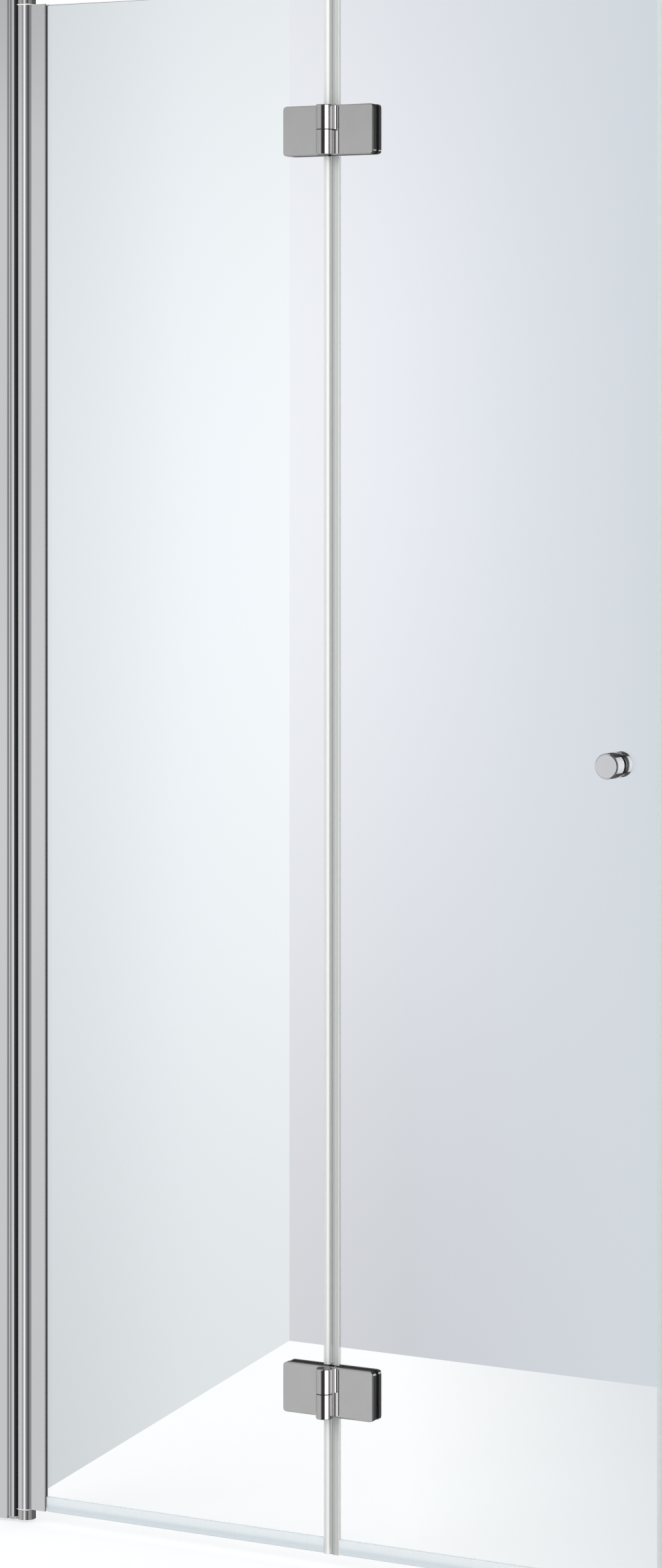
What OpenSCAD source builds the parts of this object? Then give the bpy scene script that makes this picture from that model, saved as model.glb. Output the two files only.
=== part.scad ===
// Bifold shower door: two frameless glass leaves that fold outwards face to face.
// The first leaf turns in a wall profile on a top and a bottom pivot, and the second
// leaf hangs on it by two glass-to-glass hinges.
// X runs from the wall to the free edge, Y from the outside to the inside of the
// shower, Z up. The origin is on the wall, at the profile's foot, in the glass plane.

/* [Door] */
// Height of the wall profile
door_h = 1900; // [1700:10:2100]
// Distance from the wall to the pivot axis
pivot_x = 44; // [42:1:60]
// Distance from the pivot axis to the fold line
leaf_1_w = 441.5; // [300:0.5:600]
// Distance from the fold line to the glass edge of the second leaf
leaf_2_w = 441.5; // [300:0.5:600]
// Thickness of the safety glass
glass_t = 6; // [5:0.5:8]
// Room for the pivot block under and over the first leaf
pivot_room = 12; // [10:0.5:20]
// How far the glass stops below the top of the leaves
glass_top_drop = 3; // [1:0.5:8]

/* [Wall profile] */
// Width of the wall profile across the door
wall_w = 29; // [27:0.5:34]
// Reach of the wall profile's flanges from the wall
flange_reach = 25; // [18:0.5:25]
// Wall thickness of the wall profile
wall_t = 2; // [1.5:0.1:2.5]
// Radius of the wall screw holes
wall_hole_r = 2.75; // [2:0.25:4]
// Height of the lowest wall screw hole, and of the highest one below the top
wall_hole_inset = 125; // [60:5:300]
// Number of wall screw holes
wall_hole_count = 4; // [2:1:6]

/* [Pivot carrier] */
// Gap between the wall profile's base and the carrier behind it
carrier_back_gap = 6; // [4:0.5:8]
// Wall thickness of the carrier
carrier_t = 2; // [1.5:0.1:2.5]
// Radius of the carrier's cup round the pivot tube
cup_r = 15.5; // [14.5:0.1:16.5]
// Thickness of the cup's lips
cup_t = 3; // [2:0.1:3.5]
// Half of the cup's opening angle, from the wall side
cup_half_angle = 50; // [40:1:52]
// Width of the black seal strip on each lip, along the lip
lip_seal_w = 3.6; // [2:0.1:5]

/* [Pivot profile] */
// Outer radius of the pivot tube
tube_r = 12; // [11:0.1:12.5]
// Wall thickness of the pivot tube
tube_t = 2.5; // [1.5:0.1:3]
// Distance from the pivot axis to the open edge of the clamp's outer jaw
clamp_reach = 32.5; // [28:0.5:40]
// How much shorter the clamp's inner jaw is
clamp_step = 3; // [0:0.5:4]
// Half of the clamp's outer thickness
clamp_half = 7; // [6.5:0.1:8]
// Thickness of the glazing gasket
glazing_t = 1.15; // [0.8:0.05:1.6]
// Radius of the hollow between tube and clamp
clamp_fillet = 3; // [1:0.5:5]
// Depth of the glass in the clamp
clamp_grip = 16.5; // [12:0.5:18]

/* [Pivot bearings] */
// Radius of the pivot pins
pivot_pin_r = 4; // [3:0.25:5]
// How far the pins reach into the leaf
pivot_pin_reach = 18; // [10:1:30]
// Length of the bushes in the tube, without their flange
pivot_bush_l = 22; // [20:1:40]
// Thickness of the bush flange
bush_flange_t = 1.2; // [0.8:0.1:3]
// Thickness of the pivot block's end plate
block_plate_t = 3; // [2:0.5:5]
// How far the block's tongue reaches into the carrier
block_tongue_l = 30; // [20:1:60]
// How far the pin's slotted foot stands out of the block
pin_foot = 1.5; // [0.5:0.25:3]

/* [Hinge] */
// Height of a hinge
hinge_h = 60; // [50:1:80]
// Distance from the fold line to the plates' outer edge
hinge_reach = 62.5; // [55:0.5:80]
// Thickness of a hinge plate
plate_t = 8; // [7:0.5:10]
// Thickness of the gasket between plate and glass
plate_gasket_t = 1; // [0.5:0.1:2]
// Corner radius of the plates
plate_corner = 6; // [3:0.5:10]
// Bevel along the plates' edges
plate_bevel = 1.5; // [0.5:0.1:2]
// Distance from the glass plane to the hinge pin
hinge_pin_y = 20; // [18:0.5:24]
// Outer radius of the knuckles
knuckle_r = 10; // [8:0.25:11]
// Radius of the hollow between knuckle and plate
neck_fillet = 4.5; // [3:0.25:6]
// Radius of the hinge pin
hinge_pin_r = 4; // [3:0.25:5]
// Thickness of the washer between the knuckles
knuckle_washer_t = 0.8; // [0.4:0.1:2]
// Height of the lower hinge's middle
hinge_low_z = 208; // [150:1:400]
// How far the upper hinge's middle lies below the top of the wall profile
hinge_top_drop = 184; // [120:1:400]
// Distance from the fold line to the clamping screws
hinge_screw_x = 38; // [30:0.5:45]
// Spacing of the two clamping screws
hinge_screw_pitch = 30; // [20:1:36]
// Radius of the clamping screws
hinge_screw_r = 2.5; // [2:0.1:3]
// Radius of the holes in the glass
glass_hole_r = 5; // [4.5:0.25:6]

/* [Knob] */
// Distance from the glass's free edge to the knob's axis
knob_inset = 64; // [45:0.5:120]
// Height of the knob's axis
knob_z = 971; // [700:1:1300]
// Radius of the knob
knob_r = 15; // [12:0.5:20]
// Length of the outer knob without its washer
knob_outer_l = 21; // [16:0.5:22]
// Length of the inner knob without its washer
knob_inner_l = 14; // [12:0.5:24]
// Radius of the knob's neck
knob_neck_r = 13.2; // [10:0.1:14]
// Length of the knob's neck
knob_neck_l = 3.6; // [2:0.1:6]
// Radius of the rounded edge of the knob's face
knob_face_round = 1.8; // [0.5:0.1:3]
// Thickness of the knob's washers
knob_washer_t = 1; // [0.5:0.1:2]
// Radius of the knob's bolt
knob_bolt_r = 3; // [2:0.25:4]

/* [Seals] */
// Height of the drip seals
drip_h = 19; // [16:0.5:26]
// Height of the drip seals' hanging fin
drip_fin_h = 7; // [5:0.5:10]
// Wall thickness of the seals' jaws on the glass
jaw_t = 1.2; // [0.8:0.1:1.6]
// How far the first leaf's centre seal reaches from the fold line
centre_seal_1_w = 9.6; // [8:0.1:14]
// How far the second leaf's centre seal reaches from the fold line
centre_seal_2_w = 11; // [8:0.1:14]
// Gap between the fold line and each glass edge
fold_gap = 4; // [3:0.25:6]
// How far the free edge seal's jaws grip the glass
free_seal_grip = 9; // [6:0.5:14]
// How far the free edge seal stands out past the glass
free_seal_nose = 8; // [5:0.5:14]

/* [Clearances] */
// Gap between pieces that move past each other
move_gap = 0.3; // [0.3:0.05:0.6]
// Radial clearance of a running pin
run_gap = 0.05; // [0.02:0.01:0.09]
// Gap between pieces that are fitted into each other
fit_gap = 0.05; // [0.02:0.01:0.1]
// Slack between the carrier and the wall profile's flanges
slide_gap = 0.3; // [0.1:0.05:0.5]

/* [Hidden] */
$fn = 64;
eps = 0.01;

chrome = "#b9bcbf";
bright = "#cfd2d4";
black = "#15161a";
clear_plastic = [0.86, 0.89, 0.9, 0.8];
clear_glass = [0.84, 0.9, 0.9, 0.35];

fold_x = pivot_x + leaf_1_w;
leaf_bottom = pivot_room;
leaf_top = door_h - pivot_room;
glass_half = glass_t / 2;
glass_top = leaf_top - glass_top_drop;
glass_bottom = leaf_bottom + drip_fin_h;
glass_1_x = pivot_x + clamp_reach - clamp_grip;
glass_2_end = fold_x + leaf_2_w;
seal_half = glass_half + jaw_t;

// the wall profile and the carrier that slides in it
flange_in = wall_w / 2 - wall_t;
carrier_half = flange_in - slide_gap;
carrier_back = wall_t + carrier_back_gap;
carrier_in = carrier_half - carrier_t;
hollow_end = pivot_x - cup_r - cup_t - carrier_t;
lock_screw_x = (carrier_back + min(flange_reach, hollow_end)) / 2;
lock_screw_r = 1.75;
lock_head_r = 3.5;
lock_head_h = 2;
lock_screw_heights = [for (share = [0.13, 0.5, 0.87]) share * door_h];
block_screw_z = block_plate_t + block_tongue_l / 2;
cap_t = 2;
cap_plug_l = 10;

// the soft fins of the drip seals
fin_t = 1;
drip_skirt_z = 1.5;
drip_lip_z = 2;
drip_lip_lean = 2;

// the pivot tube and its clamp
profile_bottom = leaf_bottom + bush_flange_t;
profile_top = leaf_top - bush_flange_t;
clamp_slot_half = glass_half + glazing_t;
fillet_bite = 0.03;
fillet_y = clamp_half + clamp_fillet - fillet_bite;
fillet_x = sqrt(pow(tube_r + clamp_fillet - fillet_bite, 2) - pow(fillet_y, 2));
boss_top = leaf_bottom - move_gap;

// the hinges; their section is drawn about the pin, with the glass at +Y
plate_near = glass_half + plate_gasket_t;
plate_back_y = hinge_pin_y - plate_near;
plate_front_y = plate_back_y - plate_t;
neck_y = plate_front_y - neck_fillet;
neck_x = sqrt(pow(knuckle_r + neck_fillet, 2) - pow(neck_y, 2));
hinge_heights = [hinge_low_z, door_h - hinge_top_drop];
knuckle_h = (hinge_h - knuckle_washer_t - move_gap) / 2;
pin_end_wall = 3;
pin_l = hinge_h - 2 * pin_end_wall - 2 * fit_gap;
screw_head_r = 4.4;
screw_head_h = 4;
screw_tip = 2;
hinge_notch = hinge_h / 2 + 1;

// the knob
knob_x = leaf_2_w - knob_inset;
knob_bolt_end = 8;
knob_foot_bevel = 0.5;

// One leaf's plane is mirrored to give the other: side -1 is the first leaf.
module at_fold(side) {
    translate([fold_x, 0, 0]) flip_x(side) children();
}

module flip_x(side) {
    if (side < 0) mirror([1, 0, 0]) children();
    else children();
}

module flip_y(side) {
    if (side < 0) mirror([0, 1, 0]) children();
    else children();
}

// The top end is the bottom end mirrored at half the door's height.
module at_end(top) {
    if (top) translate([0, 0, door_h]) mirror([0, 0, 1]) children();
    else children();
}

// A cylinder along Y from y0 to y1
module y_rod(r, y0, y1) {
    translate([0, y0, 0]) rotate([-90, 0, 0]) cylinder(r = r, h = y1 - y0);
}

module z_slab(z0, z1) {
    translate([0, 0, z0]) linear_extrude(z1 - z0) children();
}

// A rectangle between two corners
module span(x0, y0, x1, y1) {
    translate([x0, y0]) square([x1 - x0, y1 - y0]);
}

// ---------------------------------------------------------------- wall side

module wall_profile_section() {
    difference() {
        span(0, -wall_w / 2, flange_reach, wall_w / 2);
        span(wall_t, -flange_in, flange_reach + 1, flange_in);
    }
}

module wall_profile() {
    step = (door_h - 2 * wall_hole_inset) / (wall_hole_count - 1);
    color(chrome) difference() {
        z_slab(0, door_h) wall_profile_section();
        for (i = [0 : wall_hole_count - 1])
            translate([-1, 0, wall_hole_inset + i * step]) rotate([0, 90, 0])
                cylinder(r = wall_hole_r, h = wall_t + 2);
        for (z = lock_screw_heights)
            translate([lock_screw_x, 0, z]) y_rod(lock_screw_r + 0.4, flange_in - 1, wall_w / 2 + 1);
        for (top = [false, true]) at_end(top)
            translate([lock_screw_x, 0, block_screw_z])
                y_rod(lock_head_r + 0.4, flange_in - 1, wall_w / 2 + 1);
    }
}

// A box that ends in a sector of a circle about the pivot
module carrier_outline() {
    span(carrier_back, -carrier_half, pivot_x - cup_r * cos(cup_half_angle), carrier_half);
    lip = 2 * cup_r * [-cos(cup_half_angle), sin(cup_half_angle)];
    corner = 2 * cup_r * [-1, 1];
    translate([pivot_x, 0]) intersection() {
        circle(r = cup_r + cup_t);
        polygon([[0, 0], lip, corner, [corner.x, -corner.y], [lip.x, -lip.y]]);
    }
}

// The outline with its hollow, and with a round cup between the two lips
module carrier_section() {
    difference() {
        carrier_outline();
        translate([pivot_x, 0]) circle(r = cup_r);
        span(carrier_back + carrier_t, -carrier_in, hollow_end, carrier_in);
    }
}

module pivot_carrier() {
    color(chrome) difference() {
        z_slab(block_plate_t, door_h - block_plate_t) carrier_section();
        for (z = lock_screw_heights)
            translate([lock_screw_x, 0, z])
                y_rod(lock_screw_r + fit_gap, carrier_in - 1, carrier_half + 1);
        for (top = [false, true]) at_end(top)
            translate([lock_screw_x, 0, block_screw_z])
                y_rod(lock_screw_r + fit_gap, carrier_in - 1, carrier_half + 1);
    }
}

// A closing cap with a plug between the wall profile's base and the carrier
module profile_cap() {
    color(bright) {
        translate([0, 0, door_h]) z_slab(0, cap_t)
            span(0, -wall_w / 2, flange_reach, wall_w / 2);
        z_slab(door_h - cap_plug_l, door_h + eps)
            span(wall_t + fit_gap, -flange_in + fit_gap, carrier_back - fit_gap, flange_in - fit_gap);
    }
}

// A pan-head screw along -Y, its head's seat at y = 0
module pan_screw(shank) {
    rotate([90, 0, 0]) cylinder(r = lock_screw_r, h = shank);
    rotate([-90, 0, 0]) difference() {
        rotate_extrude() intersection() {
            translate([0, lock_head_h - lock_head_r * 1.6]) circle(r = lock_head_r * 1.6);
            span(0, 0, lock_head_r, lock_head_h);
        }
        translate([0, 0, lock_head_h - 0.9]) for (turn = [0, 90]) rotate(turn)
            translate([-2.2, -0.4, 0]) cube([4.4, 0.8, 2]);
    }
}

module profile_lock_screws() {
    color(bright) for (z = lock_screw_heights)
        translate([lock_screw_x, wall_w / 2, z]) pan_screw(wall_w / 2 - carrier_in + 1);
}

// A black strip that is held on each lip of the cup and wipes the pivot tube
module lip_seal(side) {
    lip_angle = lip_seal_w / cup_r * 180 / PI;
    seal_in = tube_r + move_gap;
    reach = 2 * cup_r;
    color(black) z_slab(block_plate_t, door_h - block_plate_t)
        translate([pivot_x, 0]) flip_y(side) difference() {
            intersection() {
                circle(r = cup_r - fit_gap);
                polygon([[0, 0], reach * [-cos(cup_half_angle), sin(cup_half_angle)],
                    reach * [-cos(cup_half_angle - lip_angle), sin(cup_half_angle - lip_angle)]]);
            }
            circle(r = seal_in);
        }
}

module lip_seal_outer() lip_seal(-1);
module lip_seal_inner() lip_seal(1);

// The block closes the carrier's end, reaches into it with a tongue and carries the
// pivot pin in a round boss inside the cup.
module pivot_block(top) {
    color(bright) at_end(top) difference() {
        union() {
            z_slab(0, block_plate_t) carrier_outline();
            z_slab(block_plate_t / 2, block_plate_t + block_tongue_l)
                span(carrier_back + carrier_t + fit_gap, -carrier_in + fit_gap,
                    hollow_end - fit_gap, carrier_in - fit_gap);
            translate([pivot_x, 0, 0]) cylinder(r = tube_r, h = boss_top);
        }
        translate([pivot_x, 0, -1]) cylinder(r = pivot_pin_r + fit_gap, h = boss_top + 2);
        translate([lock_screw_x, 0, block_screw_z])
            y_rod(lock_screw_r + fit_gap, 0, carrier_half);
    }
}

module pivot_block_bottom() pivot_block(false);
module pivot_block_top() pivot_block(true);

// The pin's foot is slotted, so that it can be turned out to free the leaf.
module pivot_pin(top) {
    tip = 0.8;
    pin_top = leaf_bottom + pivot_pin_reach;
    color(bright) at_end(top) translate([pivot_x, 0, 0]) difference() {
        rotate_extrude() polygon([
            [0, -pin_foot], [pivot_pin_r - tip, -pin_foot], [pivot_pin_r, -pin_foot + tip],
            [pivot_pin_r, pin_top - tip], [pivot_pin_r - tip, pin_top], [0, pin_top]
        ]);
        translate([-pivot_pin_r - 1, -0.6, -pin_foot - 1]) cube([2 * pivot_pin_r + 2, 1.2, 2]);
    }
}

module pivot_pin_bottom() pivot_pin(false);
module pivot_pin_top() pivot_pin(true);

module block_screws() {
    color(bright) for (top = [false, true]) at_end(top)
        translate([lock_screw_x, carrier_half, block_screw_z]) pan_screw(carrier_half - 2);
}

// ---------------------------------------------------------------- first leaf

// The corner between the tube and the clamp's face, less a round hollow
module clamp_hollow() {
    difference() {
        polygon([[0, 0], [fillet_x, fillet_y], [fillet_x, 0]]);
        translate([fillet_x, fillet_y]) circle(r = clamp_fillet);
    }
}

// A round tube with a glass clamp, blended by a hollow on each face; the inner jaw is shorter
module pivot_profile() {
    h = profile_top - profile_bottom;
    color(chrome) translate([pivot_x, 0, profile_bottom]) difference() {
        union() {
            cylinder(r = tube_r, h = h);
            z_slab(0, h) span(0, -clamp_half, clamp_reach, clamp_half);
            for (side = [-1, 1]) flip_y(side) z_slab(0, h) clamp_hollow();
        }
        translate([0, 0, -1]) cylinder(r = tube_r - tube_t, h = h + 2);
        z_slab(-1, h + 1) span(clamp_reach - clamp_grip - glazing_t, -clamp_slot_half,
            clamp_reach + 1, clamp_slot_half);
        z_slab(-1, h + 1) span(clamp_reach - clamp_step, 0, clamp_reach + 1, clamp_half + 1);
    }
}

module pivot_bush(top) {
    bore_top = leaf_bottom + pivot_bush_l + 10;
    color("#e8e6df") at_end(top) translate([pivot_x, 0, 0]) difference() {
        union() {
            z_slab(leaf_bottom, profile_bottom) circle(r = tube_r - 0.2);
            z_slab(leaf_bottom, profile_bottom + pivot_bush_l)
                circle(r = tube_r - tube_t - fit_gap);
        }
        translate([0, 0, leaf_bottom - 1]) cylinder(r = pivot_pin_r + run_gap, h = bore_top);
    }
}

module pivot_bush_bottom() pivot_bush(false);
module pivot_bush_top() pivot_bush(true);

// A channel of soft plastic round the glass edge, a little proud of the clamp
module glazing_gasket() {
    proud = 0.4;
    edge = glass_1_x - glazing_t + fit_gap;
    outer_end = pivot_x + clamp_reach + proud;
    color(black) z_slab(glass_bottom, glass_top) difference() {
        span(edge, -clamp_slot_half + fit_gap, outer_end, clamp_slot_half - fit_gap);
        span(glass_1_x, -glass_half, outer_end + 1, glass_half);
        span(outer_end - clamp_step, 0, outer_end + 1, clamp_slot_half);
    }
}

module glass_holes() {
    for (z = hinge_heights, step = [-1, 1])
        translate([hinge_screw_x, 0, z + step * hinge_screw_pitch / 2])
            y_rod(glass_hole_r, -glass_half - 1, glass_half + 1);
}

module glass_1() {
    color(clear_glass) difference() {
        translate([glass_1_x + fit_gap, -glass_half + fit_gap / 2, glass_bottom])
            cube([fold_x - fold_gap - glass_1_x - fit_gap, glass_t - fit_gap, glass_top - glass_bottom]);
        at_fold(-1) glass_holes();
    }
}

// ---------------------------------------------------------------- seals

// Two jaws on the glass and a soft round nose at the fold line
module centre_seal_section(w) {
    nose_r = seal_half;
    difference() {
        union() {
            span(fold_gap, -seal_half, w, seal_half);
            intersection() {
                translate([move_gap / 2 + nose_r, 0]) circle(r = nose_r);
                span(0, -nose_r, fold_gap + eps, nose_r);
            }
        }
        span(fold_gap - fit_gap, -glass_half, w + 1, glass_half);
    }
}

// The centre seals are cut away where the hinges are.
module centre_seal(side, w) {
    stops = [leaf_bottom,
        hinge_heights[0] - hinge_notch, hinge_heights[0] + hinge_notch,
        hinge_heights[1] - hinge_notch, hinge_heights[1] + hinge_notch,
        glass_top];
    color(clear_plastic) for (i = [0 : 2])
        at_fold(side) z_slab(stops[2 * i], stops[2 * i + 1]) centre_seal_section(w);
}

module centre_seal_1() centre_seal(-1, centre_seal_1_w);
module centre_seal_2() centre_seal(1, centre_seal_2_w);

// Section across the door: two jaws on the glass with a floor under it
module drip_jaws() {
    difference() {
        span(-seal_half, drip_fin_h - jaw_t, seal_half, drip_h);
        span(-glass_half, drip_fin_h, glass_half, drip_h + 1);
    }
}

// The drip lip leans to the inside of the shower.
module drip_lip() {
    root = drip_fin_h - jaw_t / 2;
    polygon([[seal_half - 1.6, root], [seal_half, root],
        [seal_half + drip_lip_lean, drip_lip_z], [seal_half + drip_lip_lean - fin_t, drip_lip_z]]);
}

// A skirt on the outside, a hanging fin in the middle and the drip lip
module drip_seal(x0, x1) {
    l = x1 - x0;
    color(clear_plastic) translate([x0, 0, leaf_bottom]) rotate([90, 0, 90]) {
        linear_extrude(l) drip_jaws();
        linear_extrude(l) span(-fin_t / 2, 0, fin_t / 2, drip_fin_h - jaw_t / 2);
        linear_extrude(l) span(-seal_half, drip_skirt_z, -seal_half + fin_t, drip_fin_h);
        linear_extrude(l) drip_lip();
    }
}

module drip_seal_1() drip_seal(pivot_x + clamp_reach + 0.5, fold_x - centre_seal_1_w - 0.2);
module drip_seal_2() drip_seal(fold_x + centre_seal_2_w + 0.2, glass_2_end - free_seal_grip - 0.2);

// A jaw on the glass edge, a hollow bulb past it and a wiping fin
module free_seal_section() {
    bulb_r = free_seal_nose / 2;
    difference() {
        union() {
            span(-free_seal_grip, -seal_half, jaw_t, seal_half);
            translate([free_seal_nose - bulb_r, 0]) circle(r = bulb_r);
            span(0, -bulb_r * 0.7, bulb_r, bulb_r * 0.7);
        }
        span(-free_seal_grip - 1, -glass_half, 0, glass_half);
        translate([free_seal_nose - bulb_r, 0]) circle(r = bulb_r - jaw_t);
    }
}

module free_edge_seal() {
    color(clear_plastic) z_slab(leaf_bottom, glass_top)
        translate([glass_2_end, 0]) free_seal_section();
}

// ---------------------------------------------------------------- second leaf

module glass_2() {
    color(clear_glass) difference() {
        translate([fold_x + fold_gap, -glass_half + fit_gap / 2, glass_bottom])
            cube([leaf_2_w - fold_gap, glass_t - fit_gap, glass_top - glass_bottom]);
        at_fold(1) {
            glass_holes();
            translate([knob_x, 0, knob_z]) y_rod(glass_hole_r, -glass_half - 1, glass_half + 1);
        }
    }
}

// ---------------------------------------------------------------- hinges

// Outline of a plate seen from the front: its outer corners are rounded
module plate_outline(inset) {
    half = hinge_h / 2 - inset;
    reach = hinge_reach - inset;
    r = plate_corner - inset / 2;
    span(move_gap / 2 + inset, -half, reach - r, half);
    span(move_gap / 2 + inset, -half + r, reach, half - r);
    for (side = [-1, 1]) translate([reach - r, side * (half - r)]) circle(r = r);
}

// A plate between y = 0 at the glass side and y = -plate_t, bevelled on its face
module bevelled_plate() {
    b = plate_bevel;
    half = hinge_h / 2;
    intersection() {
        rotate([90, 0, 0]) linear_extrude(plate_t) plate_outline(0);
        translate([0, 0, -half]) linear_extrude(hinge_h)
            polygon([[0, 0], [hinge_reach, 0], [hinge_reach, b - plate_t],
                [hinge_reach - b, -plate_t], [0, -plate_t]]);
        rotate([90, 0, 90]) linear_extrude(hinge_reach)
            polygon([[0, -half], [0, half], [b - plate_t, half], [-plate_t, half - b],
                [-plate_t, b - half], [b - plate_t, -half]]);
    }
}

module knuckle_section() {
    circle(r = knuckle_r);
    difference() {
        polygon([[0, 0], [neck_x, neck_y], [neck_x, plate_front_y + plate_bevel],
            [0, plate_front_y + plate_bevel]]);
        translate([neck_x, neck_y]) circle(r = neck_fillet);
    }
}

// The plate with its knuckle, drawn about the middle of the hinge pin. The first
// leaf has the lower knuckle, and the second leaf's knuckle stands on it.
module hinge_plate(side) {
    upper = side > 0;
    z0 = upper ? hinge_h / 2 - knuckle_h : -hinge_h / 2;
    other_z0 = upper ? -hinge_h / 2 - 1 : hinge_h / 2 - knuckle_h - move_gap - knuckle_washer_t;
    other_h = knuckle_h + knuckle_washer_t + move_gap + 1;
    chamfer = 0.8;
    difference() {
        union() {
            translate([0, plate_back_y, 0]) bevelled_plate();
            intersection() {
                z_slab(z0, z0 + knuckle_h) knuckle_section();
                knuckle_ends(chamfer);
            }
        }
        translate([0, 0, other_z0]) cylinder(r = knuckle_r + move_gap, h = other_h);
        translate([0, 0, upper ? -hinge_h : -hinge_h / 2 + pin_end_wall])
            cylinder(r = hinge_pin_r + (upper ? run_gap : fit_gap),
                h = 1.5 * hinge_h - pin_end_wall);
        for (step = [-1, 1])
            translate([hinge_screw_x, plate_front_y + screw_tip, step * hinge_screw_pitch / 2])
                y_rod(hinge_screw_r + fit_gap, 0, plate_t);
    }
}

// The whole barrel's height with its outer rims broken
module knuckle_ends(chamfer) {
    half = hinge_h / 2;
    wide = 2 * hinge_reach;
    rotate_extrude() polygon([[0, -half], [knuckle_r - chamfer, -half], [knuckle_r, chamfer - half],
        [wide, chamfer - half], [wide, half - chamfer], [knuckle_r, half - chamfer],
        [knuckle_r - chamfer, half], [0, half]]);
}

module place_hinge(side, z) {
    translate([fold_x, -hinge_pin_y, z]) flip_x(side) children();
}

module hinge_plate_1_lower() color(chrome) place_hinge(-1, hinge_heights[0]) hinge_plate(-1);
module hinge_plate_1_upper() color(chrome) place_hinge(-1, hinge_heights[1]) hinge_plate(-1);
module hinge_plate_2_lower() color(chrome) place_hinge(1, hinge_heights[0]) hinge_plate(1);
module hinge_plate_2_upper() color(chrome) place_hinge(1, hinge_heights[1]) hinge_plate(1);

// The plate on the inside, with deep seats for the heads of the clamping screws
module hinge_back(side, z) {
    color(chrome) translate([fold_x, plate_near, z]) flip_x(side) difference() {
        mirror([0, 1, 0]) bevelled_plate();
        for (step = [-1, 1]) translate([hinge_screw_x, 0, step * hinge_screw_pitch / 2]) {
            y_rod(hinge_screw_r + 0.3, -1, plate_t + 1);
            y_rod(screw_head_r + 0.3, plate_t - screw_head_h, plate_t + 1);
        }
    }
}

module hinge_back_1_lower() hinge_back(-1, hinge_heights[0]);
module hinge_back_1_upper() hinge_back(-1, hinge_heights[1]);
module hinge_back_2_lower() hinge_back(1, hinge_heights[0]);
module hinge_back_2_upper() hinge_back(1, hinge_heights[1]);

// A soft sheet on each side of the glass, with a collar in each hole of the glass
module hinge_gaskets(side) {
    inset = 1;
    collar_r = hinge_screw_r + 0.3;
    color(black) for (z = hinge_heights, face = [-1, 1])
        translate([fold_x, 0, z]) flip_x(side) flip_y(face) difference() {
            union() {
                translate([0, plate_near - fit_gap / 2, 0]) rotate([90, 0, 0])
                    linear_extrude(plate_gasket_t - fit_gap) intersection() {
                        plate_outline(inset);
                        span(fold_gap, -hinge_h, hinge_reach, hinge_h);
                    }
                for (step = [-1, 1])
                    translate([hinge_screw_x, 0, step * hinge_screw_pitch / 2])
                        y_rod(glass_hole_r - fit_gap, fit_gap, plate_near - fit_gap);
            }
            for (step = [-1, 1]) translate([hinge_screw_x, 0, step * hinge_screw_pitch / 2])
                y_rod(collar_r, -1, plate_near + 1);
        }
}

module hinge_gaskets_1() hinge_gaskets(-1);
module hinge_gaskets_2() hinge_gaskets(1);

// Socket screws from the inside plate, through the glass, into the outside plate
module hinge_screws(side) {
    head_seat = plate_near + plate_t - screw_head_h;
    tip_y = -plate_near - plate_t + screw_tip + 0.5;
    socket_r = 1.8;
    color(bright) for (z = hinge_heights, step = [-1, 1])
        translate([fold_x, 0, z]) flip_x(side)
            translate([hinge_screw_x, 0, step * hinge_screw_pitch / 2]) difference() {
                union() {
                    y_rod(hinge_screw_r, tip_y, head_seat + eps);
                    y_rod(screw_head_r, head_seat, head_seat + screw_head_h - 0.5);
                }
                rotate([-90, 0, 0]) translate([0, 0, head_seat + 1.2])
                    cylinder(r = socket_r, h = screw_head_h, $fn = 6);
            }
}

module hinge_screws_1() hinge_screws(-1);
module hinge_screws_2() hinge_screws(1);

// The pin is held in the first leaf's knuckle and turns in the second leaf's
module hinge_pin(z) {
    color(bright) translate([fold_x, -hinge_pin_y, z - pin_l / 2])
        cylinder(r = hinge_pin_r, h = pin_l);
}

module hinge_pin_lower() hinge_pin(hinge_heights[0]);
module hinge_pin_upper() hinge_pin(hinge_heights[1]);

module knuckle_washers() {
    recess = 0.6;
    color(black) for (z = hinge_heights)
        translate([fold_x, -hinge_pin_y, z - hinge_h / 2 + knuckle_h]) difference() {
            cylinder(r = knuckle_r - recess, h = knuckle_washer_t);
            translate([0, 0, -1]) cylinder(r = hinge_pin_r + fit_gap, h = knuckle_washer_t + 2);
        }
}

// ---------------------------------------------------------------- knob

// From the washer (0) to the face (l): a smooth barrel on a narrower neck, its face edge
// rounded by a ring of circular section
module knob_body(l) {
    shoulder = l - knob_face_round;
    cylinder(r = knob_neck_r, h = shoulder);
    translate([0, 0, knob_neck_l])
        cylinder(r1 = knob_r - knob_foot_bevel, r2 = knob_r, h = knob_foot_bevel);
    translate([0, 0, knob_neck_l + knob_foot_bevel])
        cylinder(r = knob_r, h = shoulder - knob_neck_l - knob_foot_bevel);
    cylinder(r = knob_r - knob_face_round, h = l);
    translate([0, 0, shoulder]) rotate_extrude()
        translate([knob_r - knob_face_round, 0]) circle(r = knob_face_round);
}

module knob_half(l) {
    difference() {
        knob_body(l);
        translate([0, 0, -1]) cylinder(r = knob_bolt_r + fit_gap, h = knob_bolt_end + 1.5);
    }
}

module at_knob() {
    translate([fold_x + knob_x, 0, knob_z]) children();
}

module knob_outer() {
    color(bright) at_knob() translate([0, -glass_half - knob_washer_t, 0])
        rotate([90, 0, 0]) knob_half(knob_outer_l);
}

module knob_inner() {
    color(bright) at_knob() translate([0, glass_half + knob_washer_t, 0])
        rotate([-90, 0, 0]) knob_half(knob_inner_l);
}

module knob_bolt() {
    reach = glass_half + knob_washer_t + knob_bolt_end;
    color(bright) at_knob() y_rod(knob_bolt_r, -reach, reach);
}

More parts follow.
